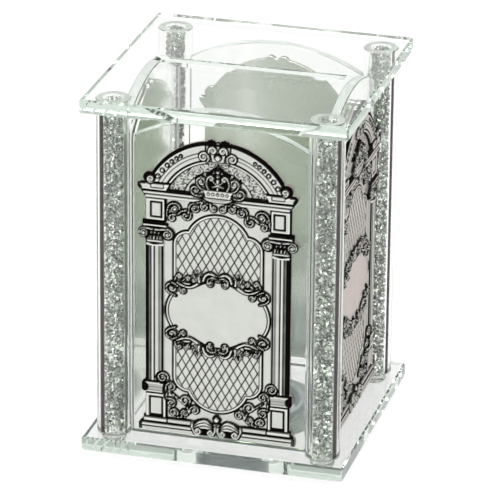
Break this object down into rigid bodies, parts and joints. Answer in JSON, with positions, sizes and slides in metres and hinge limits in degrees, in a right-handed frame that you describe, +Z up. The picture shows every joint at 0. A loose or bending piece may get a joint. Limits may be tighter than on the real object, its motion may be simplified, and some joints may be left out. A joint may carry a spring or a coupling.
{
  "type": "donation box",
  "caption": "Square clear-glass donation box with a coin slot in its top, corner tubes of crushed crystal, an arched relief plaque on each wall and a stopper in its base.",
  "frame": {"origin": "centre of the footprint, on the surface that the feet stand on", "axes": "+Z up, +X to the right along the coin slot, -Y towards the front plaque"},
  "size_m": [0.1, 0.1, 0.1413],
  "materials": {
    "clear_glass": "polished float glass with a pale green edge and a ground arris",
    "tube_glass": "drawn thick-walled glass tube, fire polished",
    "crushed_crystal": "crushed crystal chips with bright broken faces",
    "antique_silver": "cast relief, silver plated, with dark antique recesses",
    "stopper_plastic": "soft moulded grey plastic",
    "foot_gel": "clear soft stick-on bumper"
  },
  "bodies": {
    "box": {"base_plate": "clear_glass", "top_plate": "clear_glass", "corner_tube_front_left": "tube_glass", "corner_tube_front_right": "tube_glass", "corner_tube_back_left": "tube_glass", "corner_tube_back_right": "tube_glass", "crystal_fill_front_left": "crushed_crystal", "crystal_fill_front_right": "crushed_crystal", "crystal_fill_back_left": "crushed_crystal", "crystal_fill_back_right": "crushed_crystal", "glass_pane_front": "clear_glass", "glass_pane_right": "clear_glass", "glass_pane_back": "clear_glass", "glass_pane_left": "clear_glass", "plaque_front": "antique_silver", "plaque_right": "antique_silver", "plaque_back": "antique_silver", "plaque_left": "antique_silver", "bumper_foot_front_left": "foot_gel", "bumper_foot_front_right": "foot_gel", "bumper_foot_back_left": "foot_gel", "bumper_foot_back_right": "foot_gel"},
    "stopper": {"base_stopper": "stopper_plastic"}
  },
  "joints": [
    {"name": "stopper_pull", "type": "slide", "parent": "box", "child": "stopper", "axis": [0, 0, -1], "range_m": [0, 0.02]}
  ]
}
